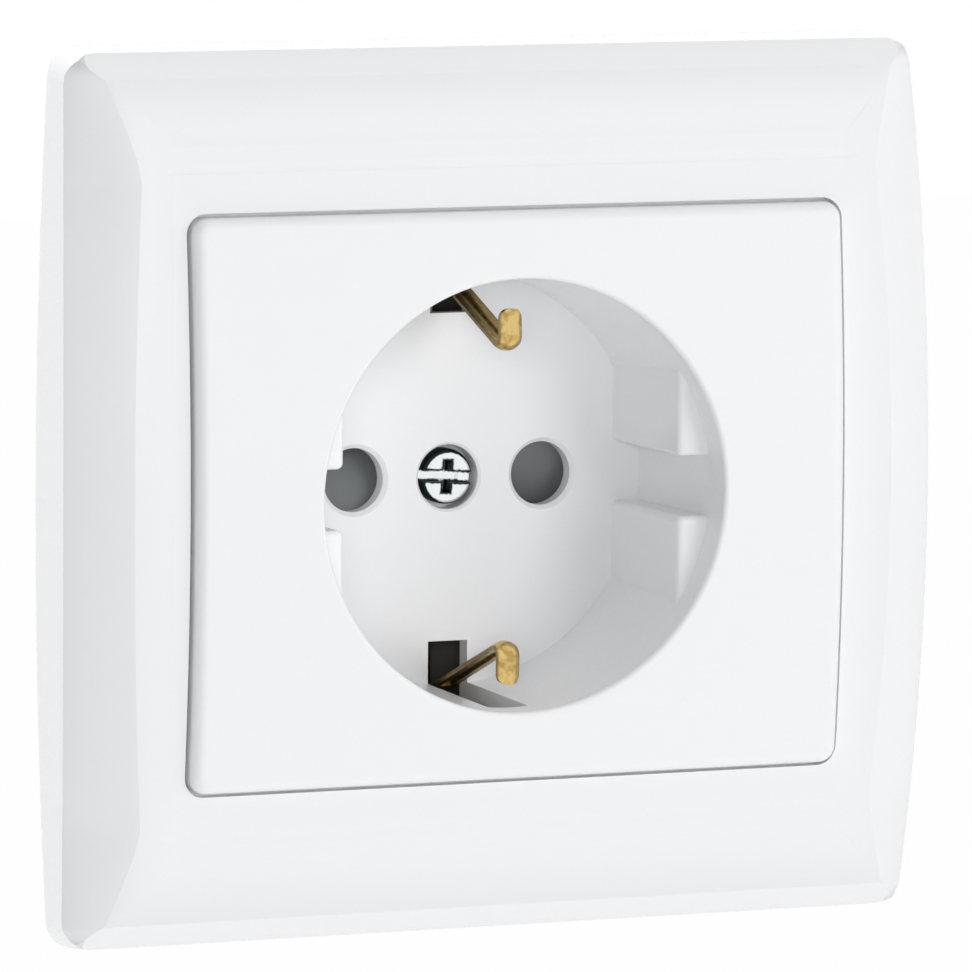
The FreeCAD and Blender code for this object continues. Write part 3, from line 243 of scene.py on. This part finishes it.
# Shutter and its cage: a turning bar of grey plastic that closes both pin holes, and the disc behind it
# that holds it against the well's floor. Both are moulded with a matt skin.
def matt_plastic(name, light, shade, grain, roughness):
    material, shader, place = new_finish(name, IOR=1.5)
    cloud = speckle(place, 150, 3)
    skin = speckle(place, grain, 2)
    feed(shader, Base_Color=blend_of(cloud, light, shade), Roughness=skin * 0.12 + roughness,
         Normal=pressed(skin, 0.18, 0.00005))
    return material


dress(matt_plastic("shutter_grey", (0.17, 0.18, 0.185), (0.21, 0.22, 0.225), 3600, 0.42), "shutter",
      "shutter_cage")

# Shutter spring: one open turn of drawn spring wire around the boss, dark from drawing, with streaks. Its leg
# stays in the cage and its hook turns with the shutter's hub; it is drawn as a merged copy of the modelled
# spring, which is hidden.
material, shader, place = new_finish("spring_wire", Metallic=1.0)
streaks = speckle(place, 3000, 3)
feed(shader, Base_Color=blend_of(streaks, (0.42, 0.42, 0.43), (0.6, 0.6, 0.61)),
     Roughness=streaks * 0.2 + 0.25, Normal=pressed(streaks, 0.1, 0.00002))
dress(material, "shutter_spring")
spring = nodes["shutter_spring"].copy()
spring.data = spring.data.copy()
spring.name = "twisting_spring"
bpy.context.collection.objects.link(spring)
resting = spring.matrix_world.copy()
spring.parent = None
spring.matrix_world = resting
wire = bmesh.new()
wire.from_mesh(spring.data)
bmesh.ops.remove_doubles(wire, verts=wire.verts, dist=1e-6)
wire.to_mesh(spring.data)
wire.free()
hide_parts("shutter_spring")
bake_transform(spring)


# Pin contacts, nut and rivets: stamped and bent from rolled brass strip, so the surface has fine rolling
# lines and brown patches of tarnish.
def rolled_brass(name, clean, dull, along):
    material, shader, place = new_finish(name, Metallic=1.0)
    lines = speckle(place, 900, 3, along)
    patch = speckle(place, 260, 3)
    patch = place.add("ShaderNodeValToRGB", {"stops": [(0.4, (0, 0, 0)), (0.68, (1, 1, 1))]}, Fac=patch)
    wear = limited(patch * 0.7 + lines * 0.4)
    feed(shader, Base_Color=blend_of(wear, clean, dull), Roughness=lines * 0.18 + 0.16 + patch * 0.1,
         Normal=pressed(lines, 0.12, 0.00003))
    return material


dress(rolled_brass("contact_brass", (0.8, 0.6, 0.3), (0.58, 0.4, 0.18), (1, 0.6, 6)), "line_contact",
      "neutral_contact", "centre_nut", "plate_rivets")

# Earth bracket: brass too, with the two clips that stand in the well and patches of tarnish at random.
# Painted shade makes the arms browner and darker deeper into the well, and a painted dark band lines the
# edges of the strip. The pressed tips are a little dented.
CLIP_HALF, EDGE_SHADE_BAND = 0.0011, 0.0002
SHADE_FROM_DEPTH, SHADE_FULL_DEPTH = -0.0078, -0.0035
material, shader, place = new_finish("clip_brass_painted_shade", Metallic=1.0)
lines = speckle(place, 900, 3, (6, 0.6, 0.6))
dents = speckle(place, 1300, 2)
patch = place.add("ShaderNodeValToRGB", {"stops": [(0.42, (0, 0, 0)), (0.64, (1, 1, 1))]}, Fac=dents)
across = worked("ABSOLUTE", place.add("ShaderNodeSeparateXYZ", out="X", Vector=place))
# Painted shade: a dark band along both edges of the strip.
edge_shade = limited((across - CLIP_HALF + EDGE_SHADE_BAND) / EDGE_SHADE_BAND)
depth = place.add("ShaderNodeSeparateXYZ", out="Y", Vector=place)
# Painted shade: browner and darker deeper into the well.
depth_shade = limited((depth - SHADE_FROM_DEPTH) / (SHADE_FULL_DEPTH - SHADE_FROM_DEPTH))
gold = blend_of(limited(patch * 0.7 + lines * 0.3), (0.78, 0.58, 0.23), (0.44, 0.28, 0.085))
depth_shaded_gold = blend_of(depth_shade * 0.5, gold, (0.3, 0.19, 0.06))
feed(shader, Base_Color=blend_of(edge_shade * 0.7, depth_shaded_gold, (0.08, 0.05, 0.018)),
     Roughness=lines * 0.16 + 0.14 + depth_shade * 0.12, Normal=pressed(dents, 0.35, 0.0001))
dress(material, "earth_bracket")

# Base body: the insulating moulding that carries contacts and terminals, in dark grey plastic with a
# coarser, duller skin than the show parts.
dress(matt_plastic("base_grey", (0.085, 0.085, 0.08), (0.12, 0.12, 0.113), 2400, 0.5), "base_body")

# Studio: a white floor well below the socket, broad soft lamps and an even white room.
# To the camera and in reflections floor and room are white, and the floor keeps a faint shadow.
FLOOR_DROP, FLOOR_WHITE = 0.28, 0.99
low_corner = cad_box[0]
bpy.ops.object.select_all(action="DESELECT")
bpy.ops.mesh.primitive_plane_add(size=8, location=(0, 0, low_corner.z - FLOOR_DROP))
floor = bpy.context.object
floor.name = "studio_floor"
material, shader, place = new_finish("studio_white", Roughness=0.9)
shader.inputs["Base Color"].default_value = (0.9, 0.9, 0.9, 1)
seen = place.add("ShaderNodeLightPath", out="Is Camera Ray")
mirrored = place.add("ShaderNodeLightPath", out="Is Glossy Ray")
passed = place.add("ShaderNodeLightPath", out="Is Transmission Ray")
white = place.add("ShaderNodeEmission", Color=(1, 1, 1, 1), Strength=1.0)
share = limited(seen + mirrored + passed) * FLOOR_WHITE
mixed = place.add("ShaderNodeMixShader", i0=share, i1=Signal(shader.outputs[0]), i2=white)
output = material.node_tree.nodes["Material Output"]
material.node_tree.links.new(mixed.socket, output.inputs["Surface"])
floor.data.materials.append(material)

ROOM_LIGHT = 0.08
world = bpy.data.worlds.new("studio_room")
world.use_nodes = True
bpy.context.scene.world = world
sky = world.node_tree.nodes["Background"]
sky.inputs["Color"].default_value = (1, 1, 1, 1)
path = Signal(world.node_tree.nodes.new("ShaderNodeLightPath").outputs["Is Camera Ray"])
shown = path.add("ShaderNodeLightPath", out="Is Glossy Ray") + path
shown = limited(path.add("ShaderNodeLightPath", out="Is Transmission Ray") + shown)
feed(sky, Strength=shown * (1 - ROOM_LIGHT) + ROOM_LIGHT)


def lamp(name, place, size, watts):
    """A square soft lamp that points at the socket, and that leaves reflections to the white room."""
    bpy.ops.object.light_add(type="AREA", location=place)
    light = bpy.context.object
    light.name = name
    light.rotation_mode = "QUATERNION"
    light.rotation_quaternion = Vector(place).to_track_quat("Z", "Y")
    light.data.size = size
    light.data.energy = watts
    light.visible_glossy = False


lamp("top_lamp", (0.0, -0.3, 0.9), 0.6, 2.0)
lamp("top_back_lamp", (0.0, 0.5, 0.8), 0.6, 7.4)
lamp("right_lamp", (0.9, -0.6, 0.2), 0.6, 2.9)
lamp("front_right_lamp", (0.45, -1.1, 0.15), 0.5, 3.5)
lamp("camera_lamp", (-0.43, -1.0, 0.12), 0.3, 2.75)
lamp("left_back_lamp", (-0.75, 0.6, 0.15), 0.5, 5.1)

# Camera: a long lens from a little to the left and above, as in the picture of the socket. It is
# shifted a little, because the socket is not in the middle of the picture.
AZIMUTH, ELEVATION, ROLL = math.radians(-23.398), math.radians(6.229), math.radians(0.401)
DISTANCE, SHIFT_RIGHT, SHIFT_DOWN, LENS, SENSOR = 0.879156, 0.00114, 0.00024, 350.9, 36
back = Vector((math.sin(AZIMUTH) * math.cos(ELEVATION), -math.cos(AZIMUTH) * math.cos(ELEVATION),
               math.sin(ELEVATION)))
right = Vector((math.cos(AZIMUTH), math.sin(AZIMUTH), 0))
up = back.cross(right)
right, up = (right * math.cos(ROLL) + up * math.sin(ROLL), up * math.cos(ROLL) - right * math.sin(ROLL))
bpy.ops.object.camera_add()
camera = bpy.context.object
camera.data.sensor_width = SENSOR
camera.data.lens = LENS
camera.data.clip_start = 0.05
camera.matrix_world = (Matrix.Translation(back * DISTANCE + right * SHIFT_RIGHT - up * SHIFT_DOWN)
                       @ Matrix((right, up, back)).transposed().to_4x4())
bpy.context.scene.camera = camera
bpy.context.scene.view_settings.view_transform = "Standard"
